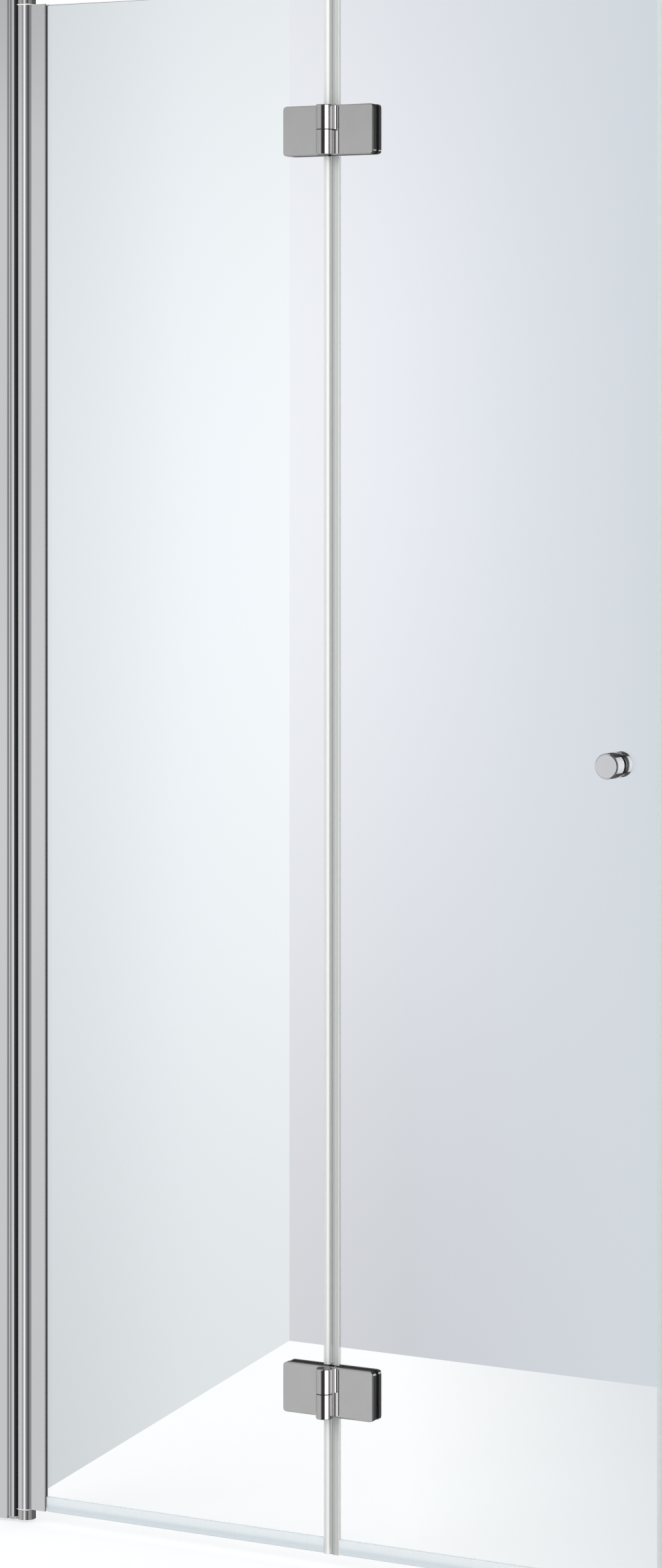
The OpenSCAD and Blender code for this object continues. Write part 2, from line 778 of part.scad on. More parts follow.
module knob_washers() {
    color(black) at_knob() for (face = [-1, 1]) flip_y(face) difference() {
        union() {
            y_rod(knob_neck_r - 0.4, glass_half, glass_half + knob_washer_t - fit_gap / 2);
            y_rod(glass_hole_r - fit_gap, fit_gap, glass_half + eps);
        }
        y_rod(knob_bolt_r + fit_gap, -1, glass_half + knob_washer_t + 1);
    }
}

wall_profile();
pivot_carrier();
profile_cap();
profile_lock_screws();
lip_seal_outer();
lip_seal_inner();
pivot_block_bottom();
pivot_block_top();
pivot_pin_bottom();
pivot_pin_top();
block_screws();
pivot_profile();
pivot_bush_bottom();
pivot_bush_top();
glazing_gasket();
glass_1();
centre_seal_1();
drip_seal_1();
hinge_plate_1_lower();
hinge_plate_1_upper();
hinge_back_1_lower();
hinge_back_1_upper();
hinge_gaskets_1();
hinge_screws_1();
hinge_pin_lower();
hinge_pin_upper();
knuckle_washers();
glass_2();
centre_seal_2();
drip_seal_2();
free_edge_seal();
hinge_plate_2_lower();
hinge_plate_2_upper();
hinge_back_2_lower();
hinge_back_2_upper();
hinge_gaskets_2();
hinge_screws_2();
knob_outer();
knob_inner();
knob_bolt();
knob_washers();
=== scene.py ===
import math

import bpy
import numpy as np
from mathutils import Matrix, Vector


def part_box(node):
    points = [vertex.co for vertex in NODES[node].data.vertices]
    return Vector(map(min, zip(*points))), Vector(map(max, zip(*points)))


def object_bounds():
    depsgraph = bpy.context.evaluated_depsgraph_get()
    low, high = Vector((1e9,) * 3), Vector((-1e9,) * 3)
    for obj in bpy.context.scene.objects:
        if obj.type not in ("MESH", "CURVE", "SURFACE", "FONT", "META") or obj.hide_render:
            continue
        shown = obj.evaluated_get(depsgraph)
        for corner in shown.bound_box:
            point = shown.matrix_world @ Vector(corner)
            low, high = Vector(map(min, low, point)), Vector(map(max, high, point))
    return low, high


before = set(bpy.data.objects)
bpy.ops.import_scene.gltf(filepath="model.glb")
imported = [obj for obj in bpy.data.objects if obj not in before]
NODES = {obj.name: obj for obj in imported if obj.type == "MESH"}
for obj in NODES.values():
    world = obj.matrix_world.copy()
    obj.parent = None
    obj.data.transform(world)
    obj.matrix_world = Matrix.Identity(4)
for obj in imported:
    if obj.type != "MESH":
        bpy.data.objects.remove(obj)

CAD_BOX = [list(corner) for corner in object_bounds()]

bl_info = {
    "name": "Bifold shower door",
    "version": (1, 0, 0),
    "blender": (4, 5, 0),
    "location": "View3D > Sidebar > Shower door",
    "description": "Finishes, studio and camera for a two-leaf glass shower door",
    "category": "Object",
}

# Places and lengths are in metres, unless a name or a comment gives another unit.

# The photograph's height, the row of its horizon and its focal length in pixels, with its camera's place
# and turn, all found from the door's own edges. The sensor is in millimetres.
FRAME_HEIGHT = 2353
HORIZON_ROW = 636
FOCAL_PIXELS = 6580
SENSOR = 36.0
CAMERA_PLACE = (3.1088, -4.5475, 1.3649)
VIEW_TURN = math.radians(30)

# Axes of the closed door: from the wall to the free edge, from the outside to the inside, and up.
ACROSS = 0
THROUGH = 1
UP = 2

BLACK = (0.0, 0.0, 0.0, 1.0)
WHITE = (1.0, 1.0, 1.0, 1.0)


# ---------------------------------------------------------------- pieces by their finish

CHROME = [
    "profile_cap", "pivot_block_bottom", "pivot_block_top",
    "hinge_plate_1_lower", "hinge_plate_1_upper", "hinge_back_1_lower", "hinge_back_1_upper",
    "hinge_plate_2_lower", "hinge_plate_2_upper", "hinge_back_2_lower", "hinge_back_2_upper",
]
KNOBS = ["knob_outer", "knob_inner"]
STEEL = [
    "profile_lock_screws", "block_screws", "pivot_pin_bottom", "pivot_pin_top",
    "hinge_pin_lower", "hinge_pin_upper", "hinge_screws_1", "hinge_screws_2", "knob_bolt",
]
# The knob washers are black rubber, and their dark ring at each knob's foot also stands in for the shade
# there.
RUBBER = [
    "lip_seal_outer", "lip_seal_inner", "glazing_gasket", "hinge_gaskets_1", "hinge_gaskets_2",
    "knob_washers", "knuckle_washers",
]
PLASTIC = ["pivot_bush_bottom", "pivot_bush_top"]
VINYL = ["drip_seal_1", "drip_seal_2"]


# ---------------------------------------------------------------- tones of the pieces

# A span of tones is (start, end, stops, axis): its stops run from 0 at the start to 1 at the end, which are
# places on that axis. A stop's tone is a grey from 0 to 1 or a colour.

# Painted sheen: the long profiles' colour is brightest near the top and darkest at the middle.
SHEEN_ALONG_PROFILES = (
    0.0,
    1.9,
    [
        (0.0, 0.94), (0.16, 0.93), (0.34, 0.885), (0.69, 0.885),
        (0.82, 0.95), (0.91, 1.0), (0.975, 0.95), (1.0, 0.93),
    ],
    UP,
)

# Painted shade: the carrier's slide face is a little darker beside its lips, with a dark painted shadow line
# there.
SLIDE_FACE_SHADE = (0.020, 0.030, [(0.0, 1.0), (0.72, 0.95), (0.80, 0.42), (0.95, 0.40), (1.0, 1.0)], ACROSS)

# Painted shade: the hollow where the pivot tube meets its clamp is painted darker.
TUBE_HOLLOW_SHADE = (
    0.0525,
    0.0575,
    [(0.0, 1.0), (0.1, 0.42), (0.5, 0.42), (0.7, 0.62), (0.9, 0.9), (1.0, 1.0)],
    ACROSS,
)

# Stops up the drip seals: darker and bluer low down, at the fins under the glass, than at the jaws.
DRIP_STOPS = [
    (0.0, (0.82, 0.85, 0.88, 1.0)),
    (0.45, (0.86, 0.89, 0.915, 1.0)),
    (0.6, (0.955, 0.965, 0.975, 1.0)),
    (1.0, (0.97, 0.975, 0.98, 1.0)),
]

# The drip seals' jaw behind the glass is lighter than the rest.
DRIP_JAWS = (
    -0.004,
    0.0045,
    [(0.0, (0.842, 0.866, 0.87, 1.0)), (0.8, (0.842, 0.866, 0.87, 1.0)), (0.83, 1.0)],
    THROUGH,
)

# Painted highlights and shade of the two centre seals' round noses: stops across each seal, from its left
# edge to its right one.
CENTRE_SEAL_SHADING = {
    "centre_seal_1": [
        (0.0, 0.68), (0.12, 0.69), (0.27, 0.68), (0.36, 0.76), (0.46, 0.85), (0.6, 0.96),
        (0.67, 0.94), (0.76, 0.74), (0.83, 0.56), (0.92, 0.50), (1.0, 0.62),
    ],
    "centre_seal_2": [
        (0.0, 0.38), (0.22, 0.40), (0.42, 0.45), (0.5, 0.53), (0.57, 0.58), (0.64, 0.59),
        (0.71, 0.557), (0.78, 0.507), (0.86, 0.54), (0.93, 0.616), (0.98, 0.66), (0.99, 1.0),
    ],
}

# The clear seals' jaws behind the glass are seen through it, so they lose most of their haze. PANE_BACK
# holds the glass's back face, from a little before it to a little after it.
PANE_BACK = (0.0027, 0.0033)
HAZE_LOST_BEHIND = 0.85

# Width of the ground rim of the glass.
GLASS_RIM = 0.0004


# ---------------------------------------------------------------- the studio's places and tones

# Painted shade: the floor is painted a little greyer behind the free end of the door. Across the view that
# sets in over GREY_STARTS and dies away over GREY_ENDS, and behind the door's plane it sets in over
# GREY_BEHIND.
GREY_STARTS = (0.6, 1.0)
GREY_ENDS = (1.6, 2.6)
GREY_BEHIND = (0.0, 0.08)
GREY_SHARE = 0.42
GREY = (0.42, 0.45, 0.48, 1.0)

# The floor gives off part of its own light, so that shadows on it stay weak: the shares of its tint that
# are matt and that glow.
FLOOR_MATT = 0.28
FLOOR_GLOW = 0.75

# Feet of the two pale screens behind the glass. The side screen runs from its near foot to the corner, and
# the back screen from the corner to its far foot.
SCREEN_NEAR = (-0.009, 0.080)
SCREEN_CORNER = (-0.217, 1.091)
SCREEN_FAR = (0.80, 1.072)

# Top of the back screen, and tops of the side screen's near end and of its end at the corner. They slant
# with the leaf's top edge, so that above the glass the picture is white.
SCREEN_TOP = 2.6
SIDE_TOPS = (1.896, 2.0085)

# The screens' painted light and shade: their colours along the floor line, and their brightness by height.
SIDE_STOPS = [
    (0.0, (0.75, 0.785, 0.81, 1.0)),
    (0.5, (0.88, 0.92, 0.945, 1.0)),
    (1.0, (0.94, 0.985, 1.0, 1.0)),
]
SIDE_HEIGHTS = [(0.0, 0.83), (0.56, 0.93), (1.3, 1.0), (1.95, 0.90), (SCREEN_TOP, 0.80)]
BACK_STOPS = [
    (0.0, (0.90, 0.91, 0.95, 1.0)),
    (0.3, (0.79, 0.815, 0.87, 1.0)),
    (0.6, (0.66, 0.70, 0.75, 1.0)),
    (1.0, (0.60, 0.65, 0.69, 1.0)),
]
BACK_HEIGHTS = [(0.0, 0.73), (0.56, 0.86), (1.3, 1.0), (1.95, 0.93), (SCREEN_TOP, 0.85)]

# Between these shares of its length, the back screen's change with height dies away.
BACK_FADE = (0.2, 0.62)

# Tones of the card that the pivot tube mirrors, and of the one that the knob mirrors.
TUBE_CARD_STOPS = [
    (0.0, 0.22), (0.08, 0.33), (0.14, 0.46), (0.20, 0.92),
    (0.34, 0.92), (0.42, 0.44), (0.7, 0.36), (1.0, 0.42),
]
KNOB_CARD_STOPS = [(0.0, 0.7), (0.5, 1.0), (1.0, 0.8)]

# The hinges' small lights: how far they stand along the closed door, their two edges in front of it, their
# height and the middles of the two hinges.
HINGE_LIGHT_PLACE = 0.53
HINGE_LIGHT_EDGES = (-0.027, -0.080)
HINGE_LIGHT_HEIGHT = 0.12
HINGE_MIDDLES = {"lower": 0.20, "upper": 1.72}

# Tones of the studio's walls by their turn in degrees from the camera, to the right as it sees the door.
WALL_TONES = [
    (-180, 0.10),
    (-176, 0.12),
    (-170, 0.72),
    (-134, (0.69, 0.68, 0.67, 1.0)),
    (-100, (0.70, 0.69, 0.68, 1.0)),
    (-62, (0.77, 0.77, 0.77, 1.0)),
    (-56, (0.75, 0.75, 0.75, 1.0)),
    (-50, 0.52),
    (-42, 0.46),
    (-38, 0.06),
    (2, 0.06),
    (7, (0.15, 0.13, 0.16, 1.0)),
    (24, (0.17, 0.15, 0.18, 1.0)),
    (31, 0.22),
    (35, 0.82),
    (39, 0.60),
    (43, 0.42),
    (52, 0.48),
    (66, 0.40),
    (90, 0.15),
    (106, 0.12),
    (109, 0.55),
    (115, 0.55),
    (118, 0.08),
    (180, 0.10),
]

# How bright the walls are by height: 0 is straight down, 0.5 level, 1 straight up.
HEIGHT_TONES = [
    (0.0, 0.75), (0.39, 0.86), (0.46, 1.0), (0.525, 0.86), (0.548, 0.70), (0.75, 0.6), (1.0, 0.9),
]


# ---------------------------------------------------------------- shader maths

# A Mix node's sockets for colours share their names with its others, so they go by number.
MIX_FACTOR = 0
MIX_FIRST = 6
MIX_SECOND = 7
MIX_RESULT = 2


class Wire:
    """A socket of a shader tree. Arithmetic on wires adds Math nodes to the tree."""

    def __init__(self, tree, socket):
        self.tree = tree
        self.socket = socket

    def _math(self, operation, first, second, clamp=False):
        return self.tree.add(
            "ShaderNodeMath",
            settings={"operation": operation, "use_clamp": clamp},
            sockets={0: first, 1: second},
        )

    def __add__(self, other):
        return self._math("ADD", self, other)

    def __radd__(self, other):
        return self._math("ADD", other, self)

    def __sub__(self, other):
        return self._math("SUBTRACT", self, other)

    def __rsub__(self, other):
        return self._math("SUBTRACT", other, self)

    def __mul__(self, other):
        return self._math("MULTIPLY", self, other)

    def __rmul__(self, other):
        return self._math("MULTIPLY", other, self)

    def __truediv__(self, other):
        return self._math("DIVIDE", self, other)

    def __rtruediv__(self, other):
        return self._math("DIVIDE", other, self)

    def clamped(self):
        """This value kept between 0 and 1."""
        return self._math("ADD", self, 0.0, clamp=True)

    def least(self, other):
        """The smaller of two values."""
        return self._math("MINIMUM", self, other)

    def most(self, other):
        """The larger of two values."""
        return self._math("MAXIMUM", self, other)

    def angle_to(self, other):
        """atan2 of this wire over the other."""
        return self._math("ARCTAN2", self, other)

    def ramp(self, low, high):
        """0 up to low, 1 from high on, straight between them."""
        return ((self - low) / (high - low)).clamped()


class Tree:
    """A node tree with one method that adds any node."""

    def __init__(self, owner):
        owner.use_nodes = True
        self.tree = owner.node_tree
        self.tree.nodes.clear()

    def add(self, kind, settings=None, sockets=None, out=0):
        """Adds a node: its settings first, then values or wires into its sockets. Gives back one output.

        On a colour ramp the settings may hold its stops, each a place and a tone, and its interpolation.
        """
        node = self.tree.nodes.new(kind)
        for name, value in (settings or {}).items():
            if name == "stops":
                self._set_stops(node, value)
            elif name == "interpolation":
                node.color_ramp.interpolation = value
            else:
                setattr(node, name, value)
        for name, value in (sockets or {}).items():
            if isinstance(value, Wire):
                self.tree.links.new(value.socket, node.inputs[name])
            else:
                node.inputs[name].default_value = value
        return Wire(self, node.outputs[out]) if node.outputs else None

    @staticmethod
    def _set_stops(node, stops):
        elements = node.color_ramp.elements
        while len(elements) < len(stops):
            elements.new(1.0)
        for element, (place, tone) in zip(elements, stops):
            element.position = place
            element.color = tone if isinstance(tone, tuple) else (tone, tone, tone, 1.0)

    def parts(self, vector):
        """The three parts of a vector wire."""
        first = self.add("ShaderNodeSeparateXYZ", sockets={"Vector": vector})
        return [Wire(self, output) for output in first.socket.node.outputs]

    def place(self):
        """Object coordinates, in metres."""
        return self.add("ShaderNodeTexCoord", out="Object")

    def noise(self, size, stretch=(1.0, 1.0, 1.0), detail=3.0):
        """Noise whose grains measure about size metres, drawn out by stretch."""
        scale = tuple(1.0 / (size * factor) for factor in stretch)
        mapped = self.add("ShaderNodeMapping", sockets={"Vector": self.place(), "Scale": scale})
        return self.add(
            "ShaderNodeTexNoise",
            sockets={"Vector": mapped, "Scale": 1.0, "Detail": detail, "Roughness": 0.55},
        )

    def ramp(self, stops, place, interpolation="LINEAR"):
        """The tone of a colour ramp at a place from 0 to 1."""
        return self.add(
            "ShaderNodeValToRGB",
            settings={"stops": stops, "interpolation": interpolation},
            sockets={"Fac": place},
        )

    def blend(self, factor, first, second, kind="MIX"):
        """A colour between two others, or what another kind of blend makes of them."""
        return self.add(
            "ShaderNodeMix",
            settings={"data_type": "RGBA", "blend_type": kind},
            sockets={MIX_FACTOR: factor, MIX_FIRST: first, MIX_SECOND: second},
            out=MIX_RESULT,
        )

    def product(self, first, second):
        """Two colours multiplied."""
        return self.blend(1.0, first, second, "MULTIPLY")

    def toned(self, tint, spans):
        """A tint multiplied by each span of tones."""
        for start, end, stops, axis in spans:
            place = self.parts(self.place())[axis].ramp(start, end)
            tint = self.product(tint, self.ramp(stops, place))
        return tint

    def bump(self, height, strength, distance):
        """Fine relief for a shader's Normal."""
        return self.add(
            "ShaderNodeBump",
            sockets={"Strength": strength, "Distance": distance, "Height": height},
        )

    def mixed(self, factor, first, second):
        """A shader between two others."""
        return self.add("ShaderNodeMixShader", sockets={0: factor, 1: first, 2: second})

    def nothing(self):
        """A shader that lets all light pass."""
        return self.add("ShaderNodeBsdfTransparent")

    def one_sided(self, shader):
        """The shader on the front of a sheet, and nothing on its back."""
        return self.mixed(self.add("ShaderNodeNewGeometry", out="Backfacing"), shader, self.nothing())

    def mirrored(self):
        """1 for light that has been mirrored once or more, 0 for what is seen straight or through glass."""
        return self.add("ShaderNodeLightPath", out="Glossy Depth").least(1.0)

    def unmirrored(self, shader):
        """The shader for the eye, and nothing for what metal or glass mirrors."""
        return self.mixed(self.mirrored(), shader, self.nothing())

    def surface(self, shader):
        """Makes a shader the material's surface."""
        self.add("ShaderNodeOutputMaterial", sockets={"Surface": shader})

    def principled(self, sockets):
        """A Principled shader with these values and wires in its sockets."""
        return self.add("ShaderNodeBsdfPrincipled", sockets=sockets)


def shade(colour, factor=1.0):
    """A colour made lighter or darker by a factor, with its alpha."""
    return (*(min(1.0, part * factor) for part in colour), 1.0)


def new_material(name):
    """A material and its cleared node tree."""
    material = bpy.data.materials.new(name)
    return material, Tree(material)


def dress(material, names):
    """Puts one material on carried-over nodes."""
    for name in names:
        slots = NODES[name].data.materials
        slots.clear()
        slots.append(material)


# ---------------------------------------------------------------- finishes

def drawn_metal(name, colour, gloss, spans):
    """Bright metal whose fine drawing lines run up the profile, with spans of painted light and shade on it.
    """
    material, tree = new_material(name)
    grain = tree.noise(0.0006, stretch=(1.0, 1.0, 400.0), detail=2.0)
    haze = tree.noise(0.05, stretch=(1.0, 1.0, 6.0))
    tree.surface(tree.principled({
        "Base Color": tree.toned(tree.blend(haze, shade(colour, 0.97), shade(colour, 1.03)), spans),
        "Metallic": 1.0,
        "Roughness": gloss + 0.05 * grain + 0.03 * haze,
        "Normal": tree.bump(grain, strength=0.02, distance=0.0002),
    }))
    return material


def plated_metal(name, colour, gloss):
    """Mirror chrome with faint polishing haze and a little softness where hands wipe it."""
    material, tree = new_material(name)
    haze = tree.noise(0.018)
    wipe = tree.noise(0.0012, stretch=(1.0, 1.0, 8.0), detail=2.0)
    tree.surface(tree.principled({
        "Base Color": tree.blend(haze, shade(colour, 0.96), shade(colour, 1.04)),
        "Metallic": 1.0,
        "Roughness": gloss + 0.05 * haze + 0.02 * wipe,
        "Normal": tree.bump(haze, strength=0.015, distance=0.0004),
    }))
    return material


def turned_steel(name, colour, gloss):
    """Stainless steel with the fine marks of a lathe tool."""
    material, tree = new_material(name)
    marks = tree.noise(0.0003, detail=4.0)
    tree.surface(tree.principled({
        "Base Color": tree.blend(marks, shade(colour, 0.88), shade(colour, 1.08)),
        "Metallic": 1.0,
        "Roughness": gloss + 0.15 * marks,
        "Normal": tree.bump(marks, strength=0.05, distance=0.0001),
    }))
    return material


def soft_rubber(name, colour):
    """Matt black extrusion: fine grain and faint lines along its length."""
    material, tree = new_material(name)
    grain = tree.noise(0.0006)
    lines = tree.noise(0.0008, stretch=(1.0, 1.0, 60.0))
    tree.surface(tree.principled({
        "Base Color": tree.blend(lines, shade(colour, 0.7), shade(colour, 1.6)),
        "Roughness": 0.55 + 0.25 * grain,
        "Specular IOR Level": 0.35,
        "Normal": tree.bump(grain, strength=0.2, distance=0.0002),
    }))
    return material


def bearing_plastic(name, colour):
    """Off-white moulded plastic with a fine spark texture."""
    material, tree = new_material(name)
    spark = tree.noise(0.0005, detail=4.0)
    tone = tree.noise(0.01)
    tree.surface(tree.principled({
        "Base Color": tree.blend(tone, shade(colour, 0.94), shade(colour, 1.04)),
        "Roughness": 0.4 + 0.2 * spark,
        "Normal": tree.bump(spark, strength=0.15, distance=0.0001),
    }))
    return material


def clear_vinyl(name, colour, clearness, spans=()):
    """Clear flexible extrusion, a little milky, with faint flow lines along its length.

    The spans of tones paint highlights and shade across the centre seals' round noses, and make the drip
    seals darker and bluer at their fins than at their jaws. What lies behind the pane is the clearest.
    """
    material, tree = new_material(name)
    flow = tree.noise(0.0015, stretch=(1.0, 1.0, 120.0))
    cloud = tree.noise(0.03)
    behind = tree.parts(tree.place())[THROUGH].ramp(*PANE_BACK)
    tree.surface(tree.principled({
        "Base Color": tree.toned(tree.blend(flow, shade(colour, 0.95), shade(colour, 1.03)), spans),
        "Roughness": 0.14 + 0.1 * cloud,
        "IOR": 1.45,
        "Alpha": (1.0 - clearness) * (1.0 - HAZE_LOST_BEHIND * behind),
    }))
    return material


def leaf_glass(name, node, clear, edge):
    """Clear sheet glass, deeper green where light leaves it by the ground edges. Lamps shine through it."""
    material, tree = new_material(name)
    low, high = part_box(node)
    x, _, z = tree.parts(tree.place())
    sideways = (x - low[ACROSS]).least(high[ACROSS] - x)
    inside = sideways.least((z - low[UP]).least(high[UP] - z))
    on_edge = 1.0 - inside.ramp(GLASS_RIM / 2, GLASS_RIM)
    tint = tree.blend(tree.noise(0.6), shade(clear, 0.995), shade(clear))
    glass = tree.principled({
        "Base Color": tree.blend(on_edge, tint, shade(edge)),
        "Roughness": 0.0,
        "IOR": 1.5,
        "Transmission Weight": 1.0,
    })
    open_to_lamps = tree.add("ShaderNodeBsdfTransparent", sockets={"Color": shade((0.93, 0.96, 0.95))})
    tree.surface(tree.mixed(tree.add("ShaderNodeLightPath", out="Is Shadow Ray"), glass, open_to_lamps))
    return material


# ---------------------------------------------------------------- settings

def colour_setting(name, description, default):
    """A colour without alpha."""
    return bpy.props.FloatVectorProperty(
        name=name, description=description, subtype="COLOR", size=3, min=0.0, max=1.0, default=default
    )


def share_setting(name, description, default):
    """A value from 0 to 1."""
    return bpy.props.FloatProperty(
        name=name, description=description, subtype="FACTOR", min=0.0, max=1.0, default=default
    )


def amount_setting(name, description, default, unit="NONE"):
    """A value from 0 up."""
    return bpy.props.FloatProperty(name=name, description=description, unit=unit, min=0.0, default=default)


class DoorFinishes(bpy.types.PropertyGroup):
    """Colours and gloss of the door's own pieces."""

    profile_colour: colour_setting("Profiles", "Polished aluminium of the long profiles", (0.88, 0.89, 0.905))
    carrier_colour: colour_setting("Carrier", "Polished aluminium of the pivot carrier", (0.86, 0.87, 0.90))
    profile_gloss: share_setting("Profile roughness", "Roughness between drawing lines", 0.05)
    chrome_colour: colour_setting("Chrome", "Hinges, pivot blocks and the profile's cap", (0.64, 0.64, 0.64))
    # Painted light: the knobs get a lighter copy of the chrome colour, for the brighter light on their faces.
    knob_colour: colour_setting("Knobs", "Plating of the two knobs", (0.77, 0.78, 0.81))
    chrome_gloss: share_setting("Chrome roughness", "Roughness of the plated fittings", 0.03)
    steel_colour: colour_setting("Steel", "Pins and screws", (0.62, 0.62, 0.63))
    steel_gloss: share_setting("Steel roughness", "Roughness of the pins and screws", 0.22)
    rubber_colour: colour_setting("Rubber", "Black seals and gaskets", (0.02, 0.02, 0.022))
    plastic_colour: colour_setting("Plastic", "Pivot bushes", (0.80, 0.79, 0.75))
    vinyl_colour: colour_setting("Drip seals", "Clear seals under the glass", (0.95, 0.97, 1.0))
    nose_colour: colour_setting("Centre seals", "Clear seals on the meeting edges", (0.93, 0.95, 0.93))
    vinyl_clearness: share_setting("Seal clearness", "Light that passes a clear seal's face", 0.3)
    free_colour: colour_setting("Free edge seal", "Seal on the door's free edge", (0.57, 0.64, 0.62))
    free_clearness: share_setting("Free edge clearness", "Light that passes the free edge seal", 0.42)
    glass_colour: colour_setting("Glass", "Tint of the leaves seen straight through", (0.985, 0.995, 1.0))
    edge_colour: colour_setting("Glass edge", "Tint where light leaves by the edge", (0.80, 0.90, 0.88))


class StudioSettings(bpy.types.PropertyGroup):
    """Floor, backdrop and lamps round the door."""

    floor_drop: amount_setting("Floor below door", "Gap under the lowest pivot pin", 0.002, "LENGTH")
    floor_reach: amount_setting("Floor reach", "Half the side of the floor", 7.0, "LENGTH")
    ambient: amount_setting("Soft light", "Brightness of the white tent round the matt pieces", 0.95)
    key_power: amount_setting("Key lamp", "Power of the large front lamp", 60.0, "POWER")
    fill_power: amount_setting("Fill lamps", "Power of the lamps at the side and behind", 30.0, "POWER")
    hinge_power: amount_setting("Hinge lights", "Power of the lights that the hinges mirror", 0.03, "POWER")
    sky_strength: amount_setting("Studio walls", "Brightness of the walls that the metal mirrors", 1.0)


# ---------------------------------------------------------------- the stage's parts

def linked(name, data):
    """A new object in the scene."""
    thing = bpy.data.objects.new(name, data)
    bpy.context.scene.collection.objects.link(thing)
    return thing


def sheet_object(name, corners, material):
    """A flat staged sheet: its points run bilinearly between four corners on a small grid."""
    count = 9
    u, v = np.meshgrid(np.linspace(0, 1, count), np.linspace(0, 1, count))
    a, b, c, d = (np.array(corner, float) for corner in corners)
    u = u.ravel()[:, None]
    v = v.ravel()[:, None]
    points = a * (1 - u) * (1 - v) + b * u * (1 - v) + c * u * v + d * (1 - u) * v
    i = np.arange(count * count).reshape(count, count)
    faces = np.stack([i[:-1, :-1], i[:-1, 1:], i[1:, 1:], i[1:, :-1]], -1).reshape(-1, 4)
    mesh = bpy.data.meshes.new(name)
    mesh.from_pydata(points.tolist(), [], faces.tolist())
    mesh.materials.append(material)
    sheet = linked(name, mesh)
    return sheet


def floor_finish():
    """Pale matt floor with a faint cloud in its tone, and painted shade that makes it a little greyer behind
    the free end of the door.
    """
    material, tree = new_material("studio_floor")
    x, y, _ = tree.parts(tree.place())
    # Seen from above, this is the same all along a line of sight.
    across_view = x + math.tan(VIEW_TURN) * y
    painted_shade = across_view.ramp(*GREY_STARTS) * (1.0 - across_view.ramp(*GREY_ENDS)) * y.ramp(*GREY_BEHIND)
    tint = tree.blend(tree.noise(0.8), shade((0.93, 0.935, 0.945)), shade((0.945, 0.955, 0.96)))
    tint = tree.blend(GREY_SHARE * painted_shade, tint, GREY)
    shader = tree.principled({
        "Base Color": tree.blend(1.0 - FLOOR_MATT, tint, BLACK),
        "Roughness": 0.7,
        "Emission Color": tint,
        "Emission Strength": FLOOR_GLOW,
    })
    tree.surface(tree.unmirrored(shader))
    return material


def screen_finish(name, axis, start, end, stops, heights, fade=None):
    """Self-lit pale screen, seen from the door's side only.

    Its colour runs smoothly through its stops, from the start to the end on an axis. Its brightness
    follows the height, and that change with height dies away between the two shares in fade.
    """
    material, tree = new_material(name)
    parts = tree.parts(tree.place())
    along = parts[axis].ramp(start, end)
    tone = tree.ramp(stops, along, "CARDINAL")
    level_stops = [(height / SCREEN_TOP, level) for height, level in heights]
    level = tree.ramp(level_stops, parts[UP].ramp(0.0, SCREEN_TOP), "CARDINAL")
    if fade:
        level = tree.blend(along.ramp(*fade), level, WHITE)
    glow = tree.add("ShaderNodeEmission", sockets={"Color": tree.product(tone, level)})
    tree.surface(tree.unmirrored(tree.one_sided(glow)))
    return material


def screen(name, foot_a, foot_b, ground, tops, material):
    """An upright screen over the line from foot a to foot b, which only the eye sees."""
    sheet = sheet_object(
        name,
        [(*foot_a, ground), (*foot_b, ground), (*foot_b, tops[1]), (*foot_a, tops[0])],
        material,
    )
    sheet.visible_diffuse = False
    sheet.visible_glossy = False
    sheet.visible_shadow = False


def card_finish(name, foot_a, foot_b, stops, strength):
    """Reflector card, lit on its front side and absent from behind; its tone runs from foot a to foot b."""
    material, tree = new_material(name)
    x, y, _ = tree.parts(tree.place())
    run = (foot_b[0] - foot_a[0], foot_b[1] - foot_a[1])
    square = run[0] ** 2 + run[1] ** 2
    along = ((x - foot_a[0]) * (run[0] / square) + (y - foot_a[1]) * (run[1] / square)).clamped()
    glow = tree.add("ShaderNodeEmission", sockets={"Color": tree.ramp(stops, along), "Strength": strength})
    tree.surface(tree.mixed(tree.mirrored(), tree.nothing(), tree.one_sided(glow)))
    return material


def reflector(name, foot_a, foot_b, low, high, stops, strength):
    """An upright card that only the metal mirrors; its front is to the right of the line from a to b."""
    card = sheet_object(
        name,
        [(*foot_a, low), (*foot_b, low), (*foot_b, high), (*foot_a, high)],
        card_finish(name, foot_a, foot_b, stops, strength),
    )
    card.visible_camera = False
    card.visible_diffuse = False
    card.visible_shadow = False


def area_light(name, place, turn, power):
    """An area lamp that neither the eye nor the glass shows."""
    light = linked(name, bpy.data.lights.new(name, "AREA"))
    light.data.energy = power
    light.location = place
    light.rotation_euler = turn
    light.visible_camera = False
    light.visible_transmission = False
    return light


def lamp(name, place, target, side, power):
    """A large soft square lamp that lights the pieces but isn't mirrored in the chrome."""
    aim = np.array(target, float) - np.array(place, float)
    run = math.hypot(aim[0], aim[1])
    turn = (math.atan2(run, -aim[2]), 0.0, math.atan2(aim[1], aim[0]) - math.pi / 2)
    light = area_light(name, place, turn, power)
    light.data.shape = "SQUARE"
    light.data.size = side
    light.visible_glossy = False


def hinge_light(name, middle, power):
    """An upright soft light beside a hinge, facing along the door, that only the hinge plates mirror."""
    near, far = HINGE_LIGHT_EDGES
    place = (HINGE_LIGHT_PLACE, (near + far) / 2, middle)
    light = area_light(name, place, (math.pi / 2, 0.0, math.pi / 2), power)
    light.data.shape = "RECTANGLE"
    light.data.size = near - far
    light.data.size_y = HINGE_LIGHT_HEIGHT
    light.data.color = (1.0, 0.96, 0.97)
    light.visible_diffuse = False
    lit = bpy.data.collections.new(name + "_lit")
    for node in CHROME:
        if node.startswith("hinge"):
            lit.objects.link(NODES[node])
    light.light_linking.receiver_collection = lit


